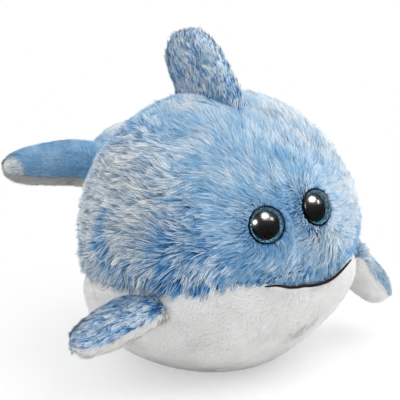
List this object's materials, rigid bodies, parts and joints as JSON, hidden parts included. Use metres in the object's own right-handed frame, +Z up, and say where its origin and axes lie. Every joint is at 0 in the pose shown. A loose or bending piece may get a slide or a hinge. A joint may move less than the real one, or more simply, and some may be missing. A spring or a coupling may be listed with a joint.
{
  "type": "round plush dolphin",
  "caption": "Ball-shaped plush dolphin with a blue back, a white belly, a dorsal fin, two flippers, level tail flukes, glittery plastic eyes and a stitched mouth.",
  "frame": {"origin": "on the ground below the centre of the ball, in the middle of the flat spot it sits on", "axes": "+Z up, the dolphin looks along -Y, its own left side is at +X"},
  "size_m": [0.1721, 0.1784, 0.1537],
  "materials": {
    "blue_plush": "long two-tone pile",
    "white_plush": "short pile",
    "stuffing": "loose polyester fibre",
    "eye_lens": "clear polished plastic",
    "eye_glitter": "glitter",
    "eye_black": "gloss",
    "washer_plastic": "satin",
    "mouth_thread": "twisted thread"
  },
  "bodies": {
    "root": {"left_side_cover": "blue_plush", "right_side_cover": "blue_plush", "belly_cover": "white_plush", "body_stuffing": "stuffing", "left_eye_back": "eye_black", "left_eye_iris": "eye_glitter", "left_eye_pupil": "eye_black", "left_eye_lens": "eye_lens", "left_eye_washer": "washer_plastic", "right_eye_back": "eye_black", "right_eye_iris": "eye_glitter", "right_eye_pupil": "eye_black", "right_eye_lens": "eye_lens", "right_eye_washer": "washer_plastic", "mouth_stitching": "mouth_thread", "dorsal_fin_right_panel": "blue_plush", "dorsal_fin_left_panel": "blue_plush", "dorsal_fin_stuffing": "stuffing", "right_flipper_top": "blue_plush", "right_flipper_underside": "white_plush", "right_flipper_stuffing": "stuffing", "left_flipper_top": "blue_plush", "left_flipper_underside": "white_plush", "left_flipper_stuffing": "stuffing", "tail_top": "blue_plush", "tail_underside": "white_plush", "tail_stuffing": "stuffing"}
  },
  "joints": []
}
